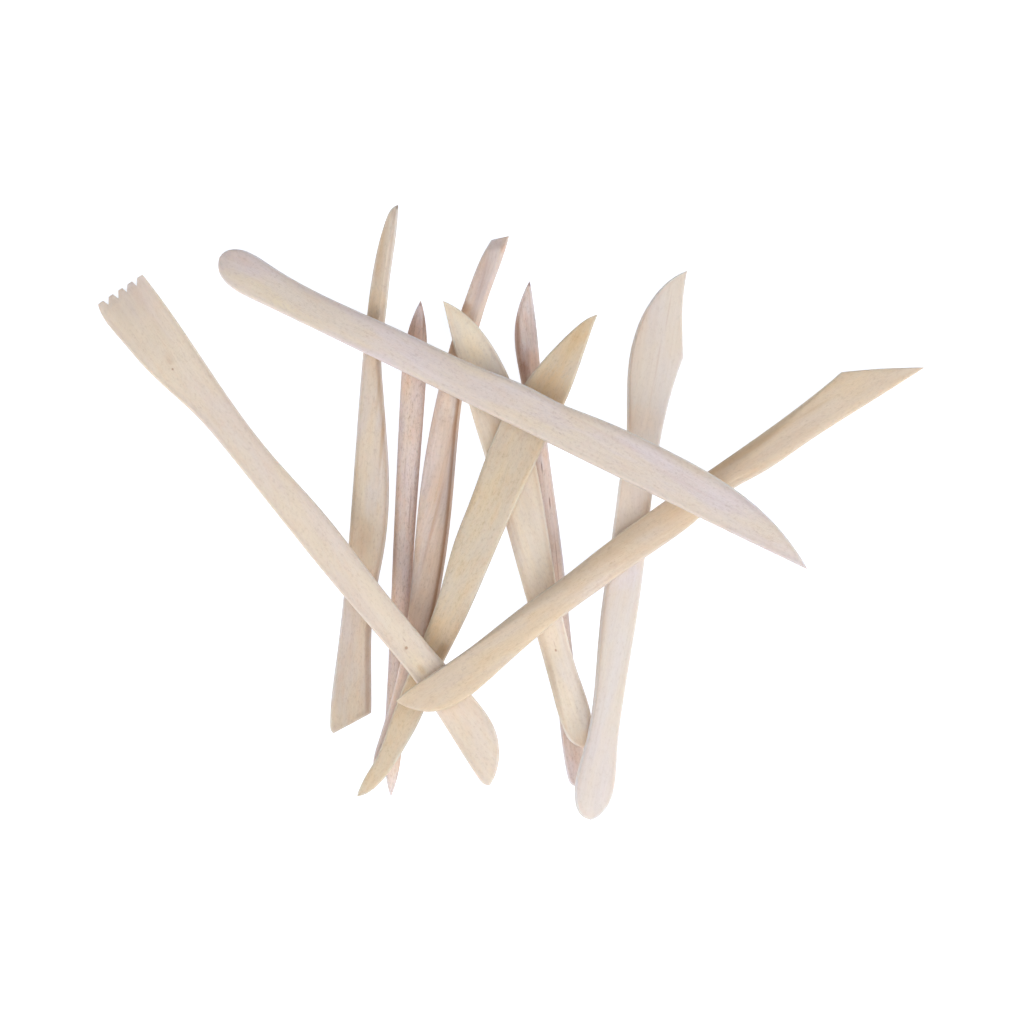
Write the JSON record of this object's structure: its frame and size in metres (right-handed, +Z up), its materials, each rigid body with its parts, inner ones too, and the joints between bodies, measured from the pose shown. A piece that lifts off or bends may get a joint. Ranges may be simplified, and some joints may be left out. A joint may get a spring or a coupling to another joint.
{
  "type": "clay modelling tool set",
  "caption": "Loose crossed pile of double-ended wooden clay modelling tools: knives, spear points, skew chisels, a stylus, a paddle and a comb spatula.",
  "frame": {"origin": "middle of the pile's outline seen from above, on the surface it lies on", "axes": "+X along the pile's longest extent, +Y across it towards the blade ends of the upright tools, +Z up"},
  "size_m": [0.2498, 0.1848, 0.0338],
  "materials": {
    "wood_slim_knife_chisel": "bare sanded pale hardwood, matt",
    "wood_twin_point_stylus": "bare sanded pale hardwood, matt",
    "wood_slim_spear_rod": "bare sanded pale hardwood, matt",
    "wood_skew_chisel_tool": "bare sanded pale hardwood, matt",
    "wood_spear_blade_skew": "bare sanded pale hardwood, matt",
    "wood_leaf_blade_tool": "bare sanded pale hardwood, matt",
    "wood_paddle_knife": "bare sanded pale hardwood, matt",
    "wood_comb_spatula": "bare sanded pale hardwood, matt",
    "wood_skew_point_knife": "bare sanded pale hardwood, matt",
    "wood_long_round_end_knife": "bare sanded pale hardwood, matt"
  },
  "bodies": {
    "slim_knife_chisel": {"D_slim_knife_chisel": "wood_slim_knife_chisel"},
    "twin_point_stylus": {"E_twin_point_stylus": "wood_twin_point_stylus"},
    "slim_spear_rod": {"I_slim_spear_rod": "wood_slim_spear_rod"},
    "skew_chisel_tool": {"F_skew_chisel_tool": "wood_skew_chisel_tool"},
    "spear_blade_skew": {"H_spear_blade_skew": "wood_spear_blade_skew"},
    "leaf_blade_tool": {"G_leaf_blade_tool": "wood_leaf_blade_tool"},
    "paddle_knife": {"J_paddle_knife": "wood_paddle_knife"},
    "comb_spatula": {"B_comb_spatula": "wood_comb_spatula"},
    "skew_point_knife": {"C_skew_point_knife": "wood_skew_point_knife"},
    "long_round_end_knife": {"A_long_round_end_knife": "wood_long_round_end_knife"}
  },
  "joints": [
    {"name": "twin_point_stylus_lift", "type": "slide", "parent": "slim_knife_chisel", "child": "twin_point_stylus", "axis": [0, 0, 1], "range_m": [0, 0.045]},
    {"name": "slim_spear_rod_lift", "type": "slide", "parent": "twin_point_stylus", "child": "slim_spear_rod", "axis": [0, 0, 1], "range_m": [0, 0.045]},
    {"name": "skew_chisel_tool_lift", "type": "slide", "parent": "slim_spear_rod", "child": "skew_chisel_tool", "axis": [0, 0, 1], "range_m": [0, 0.045]},
    {"name": "spear_blade_skew_lift", "type": "slide", "parent": "skew_chisel_tool", "child": "spear_blade_skew", "axis": [0, 0, 1], "range_m": [0, 0.045]},
    {"name": "leaf_blade_tool_lift", "type": "slide", "parent": "spear_blade_skew", "child": "leaf_blade_tool", "axis": [0, 0, 1], "range_m": [0, 0.045]},
    {"name": "paddle_knife_lift", "type": "slide", "parent": "leaf_blade_tool", "child": "paddle_knife", "axis": [0, 0, 1], "range_m": [0, 0.045]},
    {"name": "comb_spatula_lift", "type": "slide", "parent": "paddle_knife", "child": "comb_spatula", "axis": [0, 0, 1], "range_m": [0, 0.045]},
    {"name": "skew_point_knife_lift", "type": "slide", "parent": "comb_spatula", "child": "skew_point_knife", "axis": [0, 0, 1], "range_m": [0, 0.045]},
    {"name": "long_round_end_knife_lift", "type": "slide", "parent": "skew_point_knife", "child": "long_round_end_knife", "axis": [0, 0, 1], "range_m": [0, 0.045]}
  ]
}
